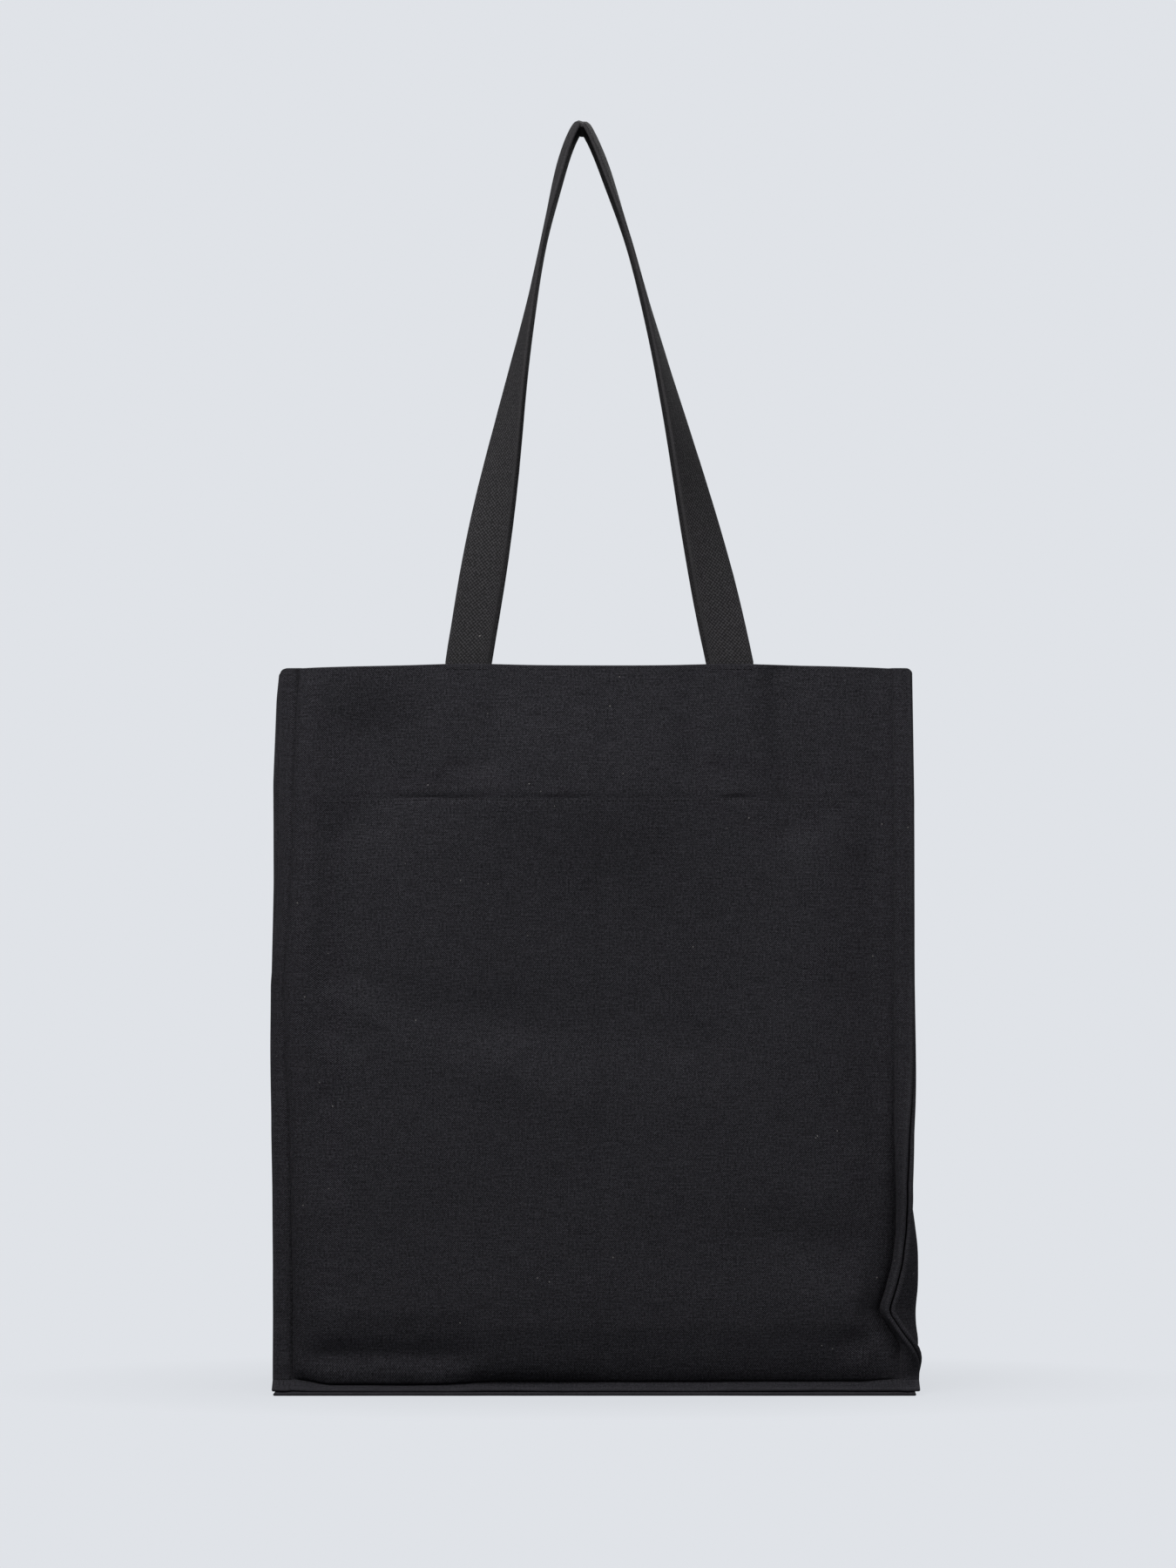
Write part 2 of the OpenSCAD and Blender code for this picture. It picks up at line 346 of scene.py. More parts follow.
# How far the wall comes forward over its bottom seam, against height above the seam's root:
# where it rests on the seam and is pinched above it, and where it sags over the seam
lean = {
    "resting": [(0, 0), (1.5, 7.0), (4, 6.6), (11, 3.9), (15, 3.5), (26, 7.2), (40, 9.0),
                (100, 5.0), (190, 0)],
    "sagging": [(0, 0), (1.5, 3.6), (6, 5.2), (14, 7.8), (32, 10.8), (48, 10.8), (110, 6.0),
                (220, 0)],
    "blur": 0.8 * mm,
    "frontChange": (-92 * mm, -54 * mm),    # where across the wall resting turns into sagging
    "backChange": (-20 * mm, 20 * mm),
    "weaken": (150 * mm, 168 * mm),         # both weaken towards the upright seams, and end
    "weakShare": 0.3,
    "end": (165 * mm, 172 * mm),
}


def overhang(front, x, above):
    above = max(0.0, above)
    sags = ease(*lean["frontChange" if front else "backChange"], x)
    rests, hangs = [follow([(h * mm, v) for h, v in lean[part]], above, lean["blur"])
                    for part in ("resting", "sagging")]
    weak = lean["weakShare"]
    inside = weak + (1 - weak) * (1 - ease(*lean["weaken"], abs(x)))
    return (rests + (hangs - rests) * sags) * mm * inside * (1 - ease(*lean["end"], abs(x)))


def seamEdge(front, side, z, along):  # the seam's free edge waves to and fro
    wave = ripple("seamEdge", side * 3, 0, z, 0 if front else 7)
    return wave * ease(0, 1, along / finLength)


def wallPoint(front, s, v):
    # s runs across the cloth and v up it, both zero at the bottom middle of the open cloth.
    # Past the open cloth both run on round the turned edge of the seam
    side = 1 if s > 0 else -1
    past = max(0.0, abs(s) - halfWide)
    below = max(0.0, -v)
    along, behind = finOffset(past)
    if past <= finLength:  # the outer layer swells between its stitches and its edge
        fuller = ease(0.2 * mm, 2.4 * mm, past) * (1 - ease(5 * mm, 10 * mm, past))
        behind -= canvas["swell"] * fuller
    inField = min(abs(s), halfWide) * side
    root = rootHeight(inField, -1 if front else 1)
    top = rimHeight(inField, front) - cornerDrop(along if past else 0)
    z = root + max(0.0, v) / openHeight * (top - root)
    out, sink, turn = seamAt(seamName(front, side > 0), z)
    near = 1 - ease(0, body["seamReach"], halfWide - abs(inField))
    x = inField + side * out * near
    y = wallY - sink * near
    over = body["flatterOver"]
    roll = 1 - body["flatter"] * ease(-over, over, inField) if front else 1.0
    puff = body["leftPuff"] if front and side < 0 else body["puff"]
    puff *= roll * (1 - math.exp(-max(0.0, halfWide - abs(s)) / (body["puffWidth"] / roll)))
    above = z - root
    lift = ease(0, body["wallLift"], above)
    if past == 0:
        forward = overhang(front, inField, above)
        y += (reliefAt(front, inField, z) + puff) * lift + forward
        z -= forward * drop * (1 - ease(1.5 * mm, body["restTop"], above))
    edge = seamEdge(front, side, z, along)
    x += side * (along * math.cos(turn) + behind * math.sin(turn))
    y += along * math.sin(turn) - behind * math.cos(turn) + edge
    if below:
        slope = math.atan(drop)
        run, under = finOffset(below, canvas["pressed"])
        run *= 1 + body["runWave"] * wander(inField, 0, 0, 30 * mm, 22)
        slope *= body["slopeShare"] + body["slopeWave"] * wander(inField, 0, 0, 24 * mm, 25)
        y += run * math.cos(slope) - under * math.sin(slope)
        z -= run * math.sin(slope) + under * math.cos(slope)
    return Vector((x, -y if front else y, z))


gusset = {
    # Depth from the front, height, width, height and bulge of each swelling, in millimetres
    True: [(24, 66, 16, 58, 13.5), (20, 20, 15, 16, 4.0), (52, 150, 26, 60, 3.0), (70, 60, 20, 40, 3)],
    False: [(40, 110, 26, 60, 4.0), (66, 210, 24, 70, 2.5), (30, 46, 18, 22, 3.5)],
    "dip": 4.5 * mm,            # the rim is lower half way back
    "below": 3.4 * mm,
    "crease": 5.0 * mm,         # the side folds in a little towards its rim
    "creaseFrom": 230 * mm, "creaseTo": 400 * mm, "creaseWidth": 15 * mm,
    "pressed": 0.4 * mm, "pressedWidth": 2.6 * mm,   # at the facing's stitches
    "endShare": 0.3,            # of its depth, at each end, that follows the seam there
}


def gussetPoint(right, s, v):
    # s runs from the front (negative) to the back, v up
    half = wallY - 3 * layer
    side = 1 if right else -1
    front = s < 0
    past = max(0.0, abs(s) - half)
    below = max(0.0, -v)
    along, behind = finOffset(past)
    inField = min(abs(s), half) * (-1 if front else 1)
    root = rootHeight(side, inField)
    part = 0.5 * (inField / half + 1)
    dip = gusset["dip"] * math.sin(math.pi * part) ** 2
    top = body["rim"] - gusset["below"] - dip - cornerDrop(along if past else 0)
    z = root + max(0.0, v) / openHeight * (top - root)
    flatX = halfWide + body["gussetGap"]
    ends = []
    for isFront in (True, False):
        out, sink, turn = seamAt(seamName(isFront, right), z)
        depth = wallY - sink - 3 * layer * math.cos(turn)
        ends.append((flatX + out + 3 * layer * math.sin(turn), depth, turn))
    y = -ends[0][1] + part * (ends[0][1] + ends[1][1])
    nearFront = 1 - ease(0, gusset["endShare"], part)
    nearBack = ease(1 - gusset["endShare"], 1, part)
    x = flatX + nearFront * (ends[0][0] - flatX) + nearBack * (ends[1][0] - flatX)
    lift = ease(0, body["gussetLift"], z - root)
    lift *= 1 - math.exp(-max(0.0, half - abs(s)) / body["gussetPuffWidth"])
    swell = 0.0
    for depth, level, width, tall, amount in gusset[right]:
        away = ((inField + half) / mm - depth) / width
        swell += amount * mm * math.exp(-away * away - ((z / mm - level) / tall) ** 2)
    crease = -gusset["crease"] * ease(gusset["creaseFrom"], gusset["creaseTo"], z)
    crease *= bump(inField, gusset["creaseWidth"])
    ruffle = ripple("gusset", side * 3, inField, z) + ripple("gussetSmall", 0, inField, z)
    pressed = -gusset["pressed"] * bump(z - facingLine, gusset["pressedWidth"])
    if past == 0:
        x += (swell + crease + ruffle + pressed + body["gussetPuff"]) * lift
    end = ends[0] if front else ends[1]
    sign = -1 if front else 1
    if past:
        behind -= spreadAt(along) + canvas["fall"] * ease(0.8 * mm, 5 * mm, along)
        x = end[0] + along * math.cos(end[2]) - behind * math.sin(end[2])
        y = sign * (end[1] + along * math.sin(end[2]) + behind * math.cos(end[2])
                    + seamEdge(front, side, z, along))
    if below:
        slope = math.atan(drop)
        run, under = finOffset(below, canvas["pressed"])
        x += run * math.cos(slope) - under * math.sin(slope)
        z -= run * math.sin(slope) + under * math.cos(slope)
    return Vector((side * x, y, z))


def basePoint(s, t):
    halfX, halfY = halfWide, wallY
    pastX, pastY = max(0.0, abs(s) - halfX), max(0.0, abs(t) - halfY)
    alongX, overX = finOffset(pastX, canvas["pressed"])
    alongY, overY = finOffset(pastY, canvas["pressed"])
    signX, signY = (1 if s > 0 else -1), (1 if t > 0 else -1)
    longer = body["longerBase"] * (1 + wander(s, t, 0, 26 * mm, 55))
    x = signX * (min(abs(s), halfX) + alongX + longer * ease(5 * mm, 9 * mm, alongX))
    y = signY * (min(abs(t), halfY) + alongY + longer * ease(5 * mm, 9 * mm, alongY))
    root = rootHeight(min(halfX, abs(s)) * signX, min(halfY, abs(t)) * signY)
    root -= body["floorGap"] * layer
    inside = min(halfX - min(abs(s), halfX), halfY - min(abs(t), halfY))
    rise = 1 - ease(0, body["baseFlatten"], inside)
    z = body["baseRest"] + (root - body["baseRest"]) * rise
    z += ripple("base", x, y, 0) * (1 - rise) + waves["base"][0] * (1 - rise)
    z -= drop * max(alongX, alongY)
    floor = 0.5 * canvas["ply"]
    return Vector((x, y, max(max(z, floor) + max(overX, overY), 1.04 * floor)))


facings = {
    "below": 0.4 * mm,          # the top edge lies just below the rim
    "gap": 1.08, "sideGap": 1.1,            # between the middles of the two layers, in plies
    "strapGap": 0.65,
    "pocketAbove": 3 * mm, "pocketReach": 7 * mm,   # it goes round the sewn-in strap ends
    "freeFrom": 6 * mm, "freeTo": 40 * mm,  # above its stitches it hangs free of the wall
    "free": 0.5 * mm, "sideFree": 0.4 * mm,
    "sideBelow": 3.8 * mm,
    "sideLine": 13 * mm,        # of a side facing's stitches, up from its lower edge
    "step": 3 * mm, "downStep": 2.6 * mm,
}


def facingPoint(front, s, v):
    # s across, v down from the rim, both along the cloth
    z = rimHeight(s, front) - facings["below"] - v
    atWall = wallPoint(front, s, z - body["bottomRoot"])
    depth = abs(atWall.y) - facings["gap"] * canvas["ply"]
    pocket = nearStrap(s, z + facings["pocketAbove"], facings["pocketReach"])
    inner = straps["y"] - 0.5 * straps["thick"] - facings["strapGap"] * canvas["ply"]
    depth = min(depth, depth + (inner - depth) * pocket)
    free = ease(facingLine + facings["freeFrom"], facingLine + facings["freeTo"], z) * (1 - pocket)
    depth -= free * (facings["free"] + ripple("facing", s, 0, z))
    return Vector((atWall.x, -depth if front else depth, atWall.z))


def gussetFacingPoint(right, s, v):
    dip = gusset["dip"] * math.cos(0.5 * math.pi * s / wallY) ** 2
    top = body["rim"] - facings["sideBelow"] - dip
    z = top - v
    part = (z - body["bottomRoot"]) / (top - body["bottomRoot"])
    atWall = gussetPoint(right, s, part * openHeight)
    free = facings["sideFree"] * ease(facingLine, facingLine + facings["freeTo"], z)
    gap = facings["sideGap"] * canvas["ply"] + free
    return Vector((atWall.x - (gap if right else -gap), atWall.y, atWall.z))


def finishMesh(bm, name):
    mesh = bpy.data.meshes.new(name)
    bm.to_mesh(mesh)
    bm.free()
    return mesh


def addToScene(name, data):
    obj = bpy.data.objects.new(name, data)
    bpy.context.scene.collection.objects.link(obj)
    return obj


def makeObject(name, mesh, material):
    obj = addToScene(name, mesh)
    mesh.materials.append(material)
    return obj


def layGrid(columns, rows):
    bm = bmesh.new()
    bmesh.ops.create_grid(bm, x_segments=columns, y_segments=rows, size=0.5)
    for face in bm.faces:
        face.smooth = True
    return bm, bm.loops.layers.uv.new("cloth"), bm.verts.layers.float.new("wearAndHighlightAmount")


def makeSheet(name, us, vs, place, outwards, keep, wearAndHighlight):
    # A grid whose rows and columns are laid along the cloth
    columns, rows = len(us) - 1, len(vs) - 1
    bm, uvLayer, wearAndHighlightAmount = layGrid(columns, rows)
    spots = {}
    for vert in bm.verts:
        spots[vert] = (us[round((vert.co.x + 0.5) * columns)], vs[round((vert.co.y + 0.5) * rows)])
    spare = []
    for face in bm.faces:
        for loop in face.loops:
            loop[uvLayer].uv = spots[loop.vert]
        corners = [spots[vert] for vert in face.verts]
        if keep and not keep(*[sum(values) / len(values) for values in zip(*corners)]):
            spare.append(face)
    if spare:
        bmesh.ops.delete(bm, geom=spare, context="FACES")
    for vert in bm.verts:
        vert.co, vert[wearAndHighlightAmount] = place(*spots[vert]), wearAndHighlight(*spots[vert])
    bm.normal_update()
    seen, outward = [Vector(values) for values in outwards]
    middle = min(bm.faces, key=lambda f: (f.calc_center_median() - seen).length)
    if middle.normal.dot(outward) < 0:
        bmesh.ops.reverse_faces(bm, faces=bm.faces)
    return finishMesh(bm, name)


def signedStations(field, extra):  # the open cloth, then both seams beyond it
    fieldEnd = field[-1]
    return [-fieldEnd - d for d in reversed(extra)] + field + [fieldEnd + d for d in extra]


def closerAtEnds(half, near, inset):  # stations over open cloth, closer together beside its seams
    ends = [d * mm for d in near]
    field = stationsAlong(-half + inset, half - inset, canvas["step"])
    return [-half + d for d in ends] + field + [half - d for d in reversed(ends)]


canvasLook = {
    "dark": (0.0050, 0.0048, 0.0060, 1),
    "light": (0.0262, 0.0252, 0.0298, 1),
    "wearAndHighlight": (0.030, 0.029, 0.033, 1),
    "roughness": 0.92, "specular": 0.12, "bump": 0.22,
    "yarns": (1540.0, 1710.0),  # to a metre, across and along
    "unevenness": 1.0, "lint": 0.6,
}
facingLook = {
    **canvasLook,
    "dark": (0.0055, 0.0053, 0.0063, 1),
    "light": (0.0275, 0.0265, 0.0305, 1),
    "wearAndHighlight": (0.034, 0.033, 0.036, 1),
    "roughness": 0.93, "specular": 0.1, "bump": 0.2, "lint": 0.4,
}
strapLook = {
    "dark": (0.0090, 0.0086, 0.0092, 1),
    "light": (0.0258, 0.0247, 0.0264, 1),
    "wearAndHighlight": (0.036, 0.0342, 0.036, 1),
    "roughness": 0.9, "specular": 0.14, "bump": 0.22,
    "yarns": (1250.0, 900.0), "unevenness": 0.8, "lint": 0.6,
}
threadLook = {
    "dark": (0.0045, 0.0043, 0.0052, 1),
    "light": (0.032, 0.031, 0.034, 1),
    "roughness": 0.75, "specular": 0.12, "bump": 0.3,
}
weaveLook = {
    "waver": 0.5, "waverScale": 900.0,      # how far the yarns stray from straight
    "warpScale": (1500, 110, 1), "weftScale": (70, 1500, 1),
    "warp": 0.9, "weft": 1.1,
    "crossingHeight": 0.5, "slubHeight": 1.2,
    "crossingPaintedShade": 1.15, "slubShade": 1.1, "fuzz": 3.4, "middle": 0.42,
}
lintColor = (0.22, 0.21, 0.2, 1)


class Wiring:  # short ways to add, set and join nodes
    def __init__(self, tree):
        self.tree = tree

    def feed(self, socket, value):  # with a number, a color or another socket
        if hasattr(value, "links"):
            self.tree.links.new(value, socket)
        else:
            socket.default_value = value

    def add(self, kind, inputs=None, **values):
        node = self.tree.nodes.new(kind)
        for key, value in values.items():
            setattr(node, key, value)
        for key, value in (inputs or {}).items():
            self.feed(node.inputs[key], value)
        return node

    def math(self, operation, *values):
        node = self.add("ShaderNodeMath", operation=operation)
        for socket, value in zip(node.inputs, values):
            self.feed(socket, value)
        return node.outputs[0]

    def times(self, a, b):
        return self.math("MULTIPLY", a, b)

    def plus(self, a, b):
        return self.math("ADD", a, b)

    def spread(self, value, fromLow, fromHigh, toLow, toHigh):
        inputs = {"Value": value, "From Min": fromLow, "From Max": fromHigh, "To Min": toLow,
                  "To Max": toHigh}
        return self.add("ShaderNodeMapRange", inputs).outputs["Result"]

    def noise(self, vector, scale, detail=2.0, roughness=0.5):
        inputs = {"Vector": vector, "Scale": scale, "Detail": detail, "Roughness": roughness}
        return self.add("ShaderNodeTexNoise", inputs).outputs["Fac"]

    def stretched(self, vector, scale):
        return self.add("ShaderNodeMapping", {"Vector": vector, "Scale": scale}).outputs["Vector"]

    def blendColors(self, amount, first, second, clamp=True):
        node = self.add("ShaderNodeMix", data_type="RGBA", clamp_factor=clamp)
        self.feed(node.inputs["Factor"], amount)
        colorSockets = [s for s in node.inputs if s.type == "RGBA"]
        for socket, value in zip(colorSockets, (first, second)):
            self.feed(socket, value)
        return [s for s in node.outputs if s.type == "RGBA"][0]

    def rough(self, height, strength, distance):  # gives the normal of a finely uneven surface
        inputs = {"Strength": strength, "Distance": distance, "Height": height}
        return self.add("ShaderNodeBump", inputs).outputs["Normal"]


def newGroup(name, numbers, outputs):  # every group takes a vector and some numbers
    tree = bpy.data.node_groups.new(name, "ShaderNodeTree")
    sockets = [("Vector", "INPUT", "NodeSocketVector")]
    sockets += [(key, "INPUT", "NodeSocketFloat") for key in numbers]
    sockets += [(key, "OUTPUT", "NodeSocketFloat") for key in outputs]
    for key, way, kind in sockets:
        socket = tree.interface.new_socket(name=key, in_out=way, socket_type=kind)
        if key in numbers:
            socket.default_value = numbers[key]
    w = Wiring(tree)
    return w, w.add("NodeGroupInput").outputs, w.add("NodeGroupOutput").inputs


def weaveGroup():
    # Plain weave with uneven yarns. The vector runs along the cloth in metres
    w, given, result = newGroup(
        "plainWeave", {"Yarns Across": 1600.0, "Yarns Along": 1600.0, "Unevenness": 1.0},
        ("Height", "Shade"))
    look, vector = weaveLook, given["Vector"]
    parts = w.add("ShaderNodeSeparateXYZ", {0: vector})
    waver = w.noise(vector, look["waverScale"], 1.0)
    sines = []
    for axis, name, sign in (("X", "Yarns Across", 1), ("Y", "Yarns Along", -1)):
        place = w.plus(w.times(parts.outputs[axis], given[name]), w.times(waver, sign * look["waver"]))
        sines.append(w.math("SINE", w.times(place, math.pi)))
    crossing = w.times(*sines)
    warp = w.noise(w.stretched(vector, look["warpScale"]), 1.0, 1.0)
    weft = w.noise(w.stretched(vector, look["weftScale"]), 1.0, 1.0)
    yarns = w.plus(w.times(warp, look["warp"]), w.times(weft, look["weft"]))
    slubs = w.times(w.math("SUBTRACT", yarns, 1.0), given["Unevenness"])
    height = w.plus(w.times(crossing, look["crossingHeight"]), w.times(slubs, look["slubHeight"]))
    w.feed(result["Height"], height)
    fuzz = w.math("SUBTRACT", w.noise(vector, look["waverScale"], 2.0, 0.6), 0.5)
    # Colour lighter where the crossings rise and darker where they sink, painted shade following the
    # weave's relief; slubs and fuzz add the yarns' own uneven tone
    shade = w.plus(w.times(crossing, look["crossingPaintedShade"]), w.times(slubs, look["slubShade"]))
    shade = w.plus(w.plus(shade, w.times(fuzz, look["fuzz"])), look["middle"])
    w.feed(result["Shade"], shade)
    return w.tree


def wearAndHighlightGroup():
    # Rubbed edges and lint, both patchy; on a seam and its turned tip the lighter edge is partly wear,
    # partly a painted highlight
    w, given, result = newGroup("rubbedAndHighlitCloth", {"Edge": 0.0, "Amount": 1.0},
                                ("RubbedAndHighlit", "Lint", "Cloud"))
    vector = given["Vector"]
    patches = w.spread(w.noise(vector, 60.0, 3.0), 0.35, 0.7, 0.45, 1.0)
    w.feed(result["RubbedAndHighlit"], w.times(w.times(given["Edge"], patches), given["Amount"]))
    specks = w.add("ShaderNodeTexVoronoi", {"Vector": vector, "Scale": 130.0})
    near = w.spread(specks.outputs["Distance"], 0.03, 0.06, 1.0, 0.0)
    chosen = w.math("GREATER_THAN", w.noise(vector, 40.0, 1.0), 0.60)
    w.feed(result["Lint"], w.times(near, chosen))
    w.feed(result["Cloud"], w.noise(vector, 14.0, 3.0))
    return w.tree


weave = weaveGroup()
wearAndHighlightMask = wearAndHighlightGroup()


def newMaterial(name):
    material = bpy.data.materials.new(name)
    material.use_nodes = True
    return material, Wiring(material.node_tree), material.node_tree.nodes["Principled BSDF"].inputs


def clothMaterial(name, look):
    material, w, shader = newMaterial(name)
    shader["Specular IOR Level"].default_value = look["specular"]
    along = w.add("ShaderNodeUVMap", uv_map="cloth").outputs["UV"]
    edge = w.add("ShaderNodeAttribute", attribute_name="wearAndHighlightAmount").outputs["Fac"]
    across, lengthways = look["yarns"]
    yarn = w.add("ShaderNodeGroup", node_tree=weave, inputs={
        "Vector": along, "Yarns Across": across, "Yarns Along": lengthways,
        "Unevenness": look["unevenness"]}).outputs
    rubAndHighlight = w.add("ShaderNodeGroup", node_tree=wearAndHighlightMask, inputs={
        "Vector": along, "Edge": edge, "Amount": 1.0}).outputs
    amount = w.plus(yarn["Shade"], w.spread(rubAndHighlight["Cloud"], 0.3, 0.7, -0.05, 0.05))
    amount = w.math("MINIMUM", w.math("MAXIMUM", amount, 0.0), 1.6)
    color = w.blendColors(amount, look["dark"], look["light"], clamp=False)
    # Edges lighter: rubbed wear at the rim, facing and straps; on the seams and their turned tips
    # partly wear, partly a painted highlight
    color = w.blendColors(w.times(rubAndHighlight["RubbedAndHighlit"], 0.45), color, look["wearAndHighlight"])
    color = w.blendColors(w.times(rubAndHighlight["Lint"], look["lint"]), color, lintColor)
    w.feed(shader["Base Color"], color)
    rough = w.spread(yarn["Shade"], 0.0, 1.0, look["roughness"] + 0.05, look["roughness"] - 0.1)
    w.feed(shader["Roughness"], rough)
    w.feed(shader["Normal"], w.rough(yarn["Height"], look["bump"], 0.35 * mm))
    return material


def threadMaterial():
    material, w, shader = newMaterial("sewingThread")
    look = threadLook
    shader["Specular IOR Level"].default_value = look["specular"]
    where = w.add("ShaderNodeTexCoord").outputs["Object"]
    ply = w.noise(where, 1500.0, 1.0)
    patch = w.noise(where, 160.0, 2.0)
    shade = w.spread(w.plus(w.times(ply, 0.5), patch), 0.6, 1.0, 0.0, 1.0)
    w.feed(shader["Base Color"], w.blendColors(shade, look["dark"], look["light"]))
    rough = w.spread(ply, 0.3, 0.7, look["roughness"] + 0.1, look["roughness"] - 0.1)
    w.feed(shader["Roughness"], rough)
    w.feed(shader["Normal"], w.rough(ply, look["bump"], 0.1 * mm))
    return material


canvasCloth = clothMaterial("blackCanvas", canvasLook)
facingCloth = clothMaterial("facingCanvas", facingLook)
strapCloth = clothMaterial("strapWebbing", strapLook)
sewingThread = threadMaterial()
print("materials ready")

# How much lighter each edge is painted: rubbed wear, and on a seam and its turned tip also a painted
# highlight
edgeWearAndHighlight = {"seam": 0.15, "tip": 0.85, "rim": 0.8, "facing": 0.7, "strap": 0.75}
extra = finStations()
hemStart = finLength + 0.5 * finArc
gussetHalf = wallY - 3 * layer
lineV = facingLine - body["bottomRoot"]
acrossWall = signedStations(closerAtEnds(halfWide, (0, 0.8, 2), 3.5 * mm), extra)
acrossGusset = signedStations(closerAtEnds(gussetHalf, (0, 0.6, 1.5), 3 * mm), extra)
upWall = [-d for d in reversed(extra)]
upWall += [d * mm for d in (0, 0.3, 0.6, 0.9, 1.3, 1.8, 2.4, 3.2, 4.2, 5.6)]
for low, high, step in ((7.5 * mm, lineV - 7 * mm, canvas["step"]),
                        (lineV - 6 * mm, lineV + 6 * mm, 0.75 * mm),   # closer at the stitches
                        (lineV + 7 * mm, openHeight - 1.5 * mm, canvas["step"])):
    upWall += stationsAlong(low, high, step)
upWall += [openHeight - 0.5 * mm, openHeight]


# A seam lighter, most of all at its turned tip: partly wear, partly a painted highlight
def finWearAndHighlight(past):
    if past <= 0:
        return 0.0
    tip = ease(finLength - 1.5 * mm, finLength + 0.3 * mm, finOffset(past)[0])
    return edgeWearAndHighlight["seam"] + edgeWearAndHighlight["tip"] * tip


def wallKeep(s, v):
    return abs(s) - halfWide <= hemStart or v >= 0


def gussetKeep(s, v):
    return abs(s) <= gussetHalf or v >= 0


def baseKeep(s, t):
    pastX, pastY = abs(s) - halfWide, abs(t) - wallY
    return not ((pastX > hemStart and pastY > 0) or (pastY > hemStart and pastX > finLength))


def uprightWearAndHighlight(half, s, v):
    rim = edgeWearAndHighlight["rim"] * ease(openHeight - 1.6 * mm, openHeight, v)
    return max(finWearAndHighlight(abs(s) - half), finWearAndHighlight(-v), rim)


def baseWearAndHighlight(s, t):
    return max(finWearAndHighlight(abs(s) - halfWide), finWearAndHighlight(abs(t) - wallY))


def facingWorn(s, v):
    return edgeWearAndHighlight["facing"] * (1 - ease(0.4 * mm, 2 * mm, v))


def flatArea(us, vs, keep):
    return sum((u2 - u1) * abs(v2 - v1) for u1, u2 in zip(us, us[1:]) for v1, v2 in zip(vs, vs[1:])
               if keep is None or keep(0.5 * (u1 + u2), 0.5 * (v1 + v2)))


def addSheet(name, node, cloth, stations, place, outwards, keep, wearAndHighlight):
    us, vs = stations
    obj = makeObject(name, makeSheet(name, us, vs, place, outwards, keep, wearAndHighlight), cloth)
    solid = obj.modifiers.new("ply", "SOLIDIFY")
    solid.thickness, solid.offset, solid.use_rim = canvas["ply"], 0, True
    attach(obj, "root")
    flat = (us[-1] - us[0], abs(vs[-1] - vs[0]))
    area = min(flatArea(us, vs, keep), flat[0] * flat[1])
    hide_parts(node)


walls = ((True, "front", -1), (False, "back", 1))       # name, and which way out is
flanks = ((True, "right", 1), (False, "left", -1))
for front, label, sign in walls:
    addSheet(label + "Wall", label + "_panel", canvasCloth, (acrossWall, upWall),
             partial(wallPoint, front), ((0, sign * wallY, 0.2), (0, sign, 0)),
             wallKeep, partial(uprightWearAndHighlight, halfWide))
print("walls ready")
for right, label, sign in flanks:
    addSheet(label + "Gusset", label + "_gusset", canvasCloth, (acrossGusset, upWall),
             partial(gussetPoint, right), ((sign * halfWide, 0, 0.2), (sign, 0, 0)),
             gussetKeep, partial(uprightWearAndHighlight, gussetHalf))
print("side walls ready")
acrossBase, alongBase = [signedStations(stationsAlong(-half, half, 3 * mm), extra)
                         for half in (halfWide, wallY)]
addSheet("basePanel", "base_panel", canvasCloth, (acrossBase, alongBase), basePoint,
         ((0, 0, 0), (0, 0, -1)), baseKeep, baseWearAndHighlight)
print("base ready")

facingDepth = body["rim"] - facingEdge
downFacing = stationsAlong(0, facingDepth, facings["downStep"])
sideFacingLow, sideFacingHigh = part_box("right_facing")
across = stationsAlong(facingLow.x, facingHigh.x, facings["step"])
for front, label, sign in walls:
    addSheet(label + "Facing", label + "_facing", facingCloth, (across, downFacing),
             partial(facingPoint, front), ((0, sign * wallY, 0.38), (0, -sign, 0)),
             None, facingWorn)
across = stationsAlong(sideFacingLow.y, sideFacingHigh.y, facings["step"])
for right, label, sign in flanks:
    addSheet(label + "Facing", label + "_facing", facingCloth, (across, downFacing),
             partial(gussetFacingPoint, right), ((sign * halfWide, 0, 0.38), (-sign, 0, 0)),
             None, facingWorn)
print("facings ready")


handle = {
    "apexX": -7.5 * mm, "apexY": 13.5 * mm,
    "rise": handleHigh.z - handleLow.z - 0.5 * straps["thick"],
    "base": handleLow.z,
    # Of the left (-1) and the right (1) half of the loop
    "foot": {-1: straps["leftX"], 1: straps["rightX"]},
    "bow": {-1: 0.76, 1: 0.772},
    "round": {-1: 0.11, 1: 0.02},           # how much rounder it is towards the top
    "flat": {-1: 46 * mm, 1: 10 * mm},      # height where it starts to twist, and twists over
    "twist": {-1: 222 * mm, 1: 249 * mm},
    "roundFade": 3.5,
    "topLean": 9,               # degrees that the strap leans back from edge-on at its top
    "leanFrom": 0.76, "leanTo": 0.93,
    "topDent": 2.8 * mm,        # the fold at the very top is pressed in
    "dentWidth": 1.5 * mm,
    "sides": 22,                # points round the section
    "rings": 64, "tailRings": 16,           # on each half of the loop, and on a sewn-in end
    "bendRoom": 10 * mm,        # height over which a swung handle bends at the rim
}


def strapMiddle(step):  # step runs from -1 at the left foot to 1 at the right foot
    side, t = (-1 if step < 0 else 1), min(1, step * step)
    bow = handle["bow"][side] - handle["round"][side] * (1 - t) ** handle["roundFade"]
    x = handle["apexX"] + (handle["foot"][side] - handle["apexX"]) * t ** bow
    y = straps["y"] + (handle["apexY"] - straps["y"]) * (1 - t)
    dent = handle["topDent"] * bump(x - handle["apexX"], handle["dentWidth"])
    return Vector((x, -y, handle["base"] + handle["rise"] * (1 - t) - dent))


